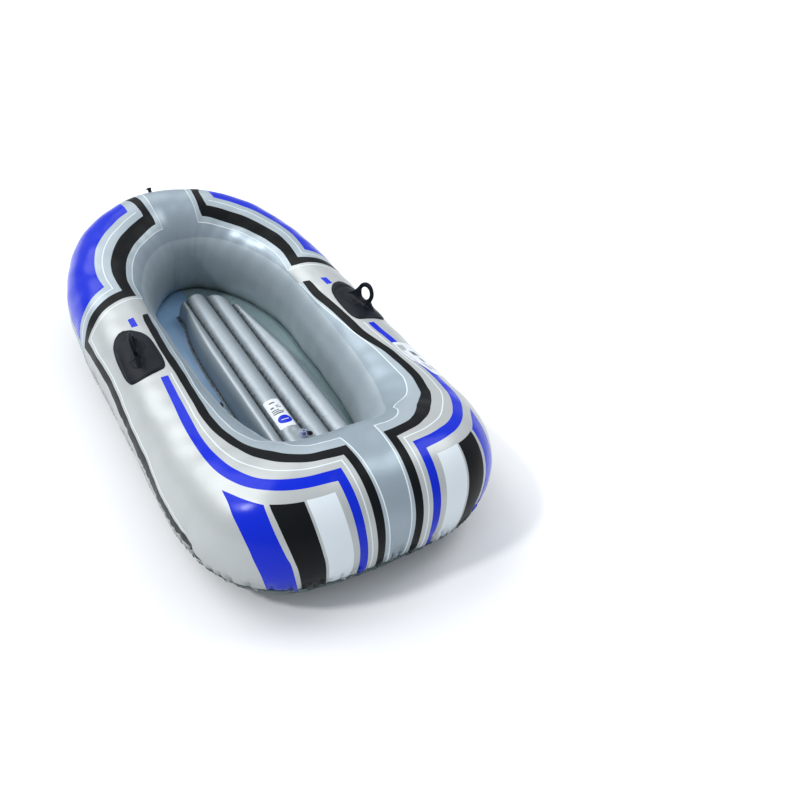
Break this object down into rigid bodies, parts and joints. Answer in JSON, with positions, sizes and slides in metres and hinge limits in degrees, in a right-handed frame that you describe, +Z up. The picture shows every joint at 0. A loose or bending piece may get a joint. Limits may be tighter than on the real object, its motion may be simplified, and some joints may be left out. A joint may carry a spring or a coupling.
{
  "type": "inflatable boat",
  "caption": "Small inflatable boat: an air-ring hull with printed stripes, a beamed air floor, welded rubber oarlocks and push-in valves with caps.",
  "frame": {"origin": "on the ground, under the middle of the boat's overall box", "axes": "+Z up, +Y towards the bow, +X to starboard"},
  "size_m": [0.9806, 1.8791, 0.4009],
  "materials": {
    "printed_vinyl": "satin, printed stripes",
    "plain_vinyl": "satin",
    "bottom_vinyl": "satin",
    "inside_vinyl": "matt",
    "floor_vinyl": "satin",
    "floor_base_vinyl": "satin",
    "black_rubber": "satin",
    "label_film": "gloss",
    "clear_vinyl": "clear, bluish",
    "cap_rubber": "satin"
  },
  "bodies": {
    "boat": {"hull_top_skin": "printed_vinyl", "hull_inner_wall": "plain_vinyl", "bottom_sheet": "bottom_vinyl", "chamber_divider": "inside_vinyl", "floor_base_sheet": "floor_base_vinyl", "floor_top_sheet": "floor_vinyl", "floor_web_port": "inside_vinyl", "floor_web_middle": "inside_vinyl", "floor_web_starboard": "inside_vinyl", "oarlock_port": "black_rubber", "oarlock_starboard": "black_rubber", "hull_label": "label_film", "floor_label": "label_film", "bow_valve_seat": "clear_vinyl", "wall_valve_seat": "clear_vinyl", "floor_valve_seat": "clear_vinyl"},
    "bow_stem": {"bow_valve_stem": "clear_vinyl"},
    "bow_cap": {"bow_valve_cap": "cap_rubber"},
    "bow_flap": {"bow_valve_flap": "clear_vinyl"},
    "wall_stem": {"wall_valve_stem": "clear_vinyl"},
    "wall_cap": {"wall_valve_cap": "cap_rubber"},
    "wall_flap": {"wall_valve_flap": "clear_vinyl"},
    "floor_stem": {"floor_valve_stem": "clear_vinyl"},
    "floor_cap": {"floor_valve_cap": "cap_rubber"},
    "floor_flap": {"floor_valve_flap": "clear_vinyl"}
  },
  "joints": [
    {"name": "bow_stem_slide", "type": "slide", "parent": "boat", "child": "bow_stem", "axis": [-0.0589, 0.5592, 0.827], "range_m": [-0.0095, 0]},
    {"name": "bow_cap_hinge", "type": "hinge", "parent": "bow_stem", "child": "bow_cap", "pos_m": [-0.06228, 0.8772, 0.39414], "axis": [0, -0.8284, 0.5601], "range_deg": [0, 135]},
    {"name": "bow_flap_hinge", "type": "hinge", "parent": "bow_stem", "child": "bow_flap", "pos_m": [-0.04391, 0.86261, 0.37255], "axis": [0, -0.8284, 0.5601], "range_deg": [0, 60], "stiffness_Nm_per_rad": 0.0002},
    {"name": "wall_stem_slide", "type": "slide", "parent": "boat", "child": "wall_stem", "axis": [0.9675, 0.0946, 0.2347], "range_m": [-0.0095, 0]},
    {"name": "wall_cap_hinge", "type": "hinge", "parent": "wall_stem", "child": "wall_cap", "pos_m": [-0.2004, -0.22661, 0.19722], "axis": [0.0973, -0.9953, 0], "range_deg": [0, 135]},
    {"name": "wall_flap_hinge", "type": "hinge", "parent": "wall_stem", "child": "wall_flap", "pos_m": [-0.22269, -0.22879, 0.17452], "axis": [0.0973, -0.9953, 0], "range_deg": [0, 60], "stiffness_Nm_per_rad": 0.0002},
    {"name": "floor_stem_slide", "type": "slide", "parent": "boat", "child": "floor_stem", "axis": [0, 0, 1], "range_m": [-0.0095, 0]},
    {"name": "floor_cap_hinge", "type": "hinge", "parent": "floor_stem", "child": "floor_cap", "pos_m": [0.00458, -0.40871, 0.1508], "axis": [0.867, 0.4983, 0], "range_deg": [-185, 0]},
    {"name": "floor_flap_hinge", "type": "hinge", "parent": "floor_stem", "child": "floor_flap", "pos_m": [-0.00379, -0.39414, 0.1237], "axis": [0.867, 0.4983, 0], "range_deg": [0, 60], "stiffness_Nm_per_rad": 0.0002}
  ]
}
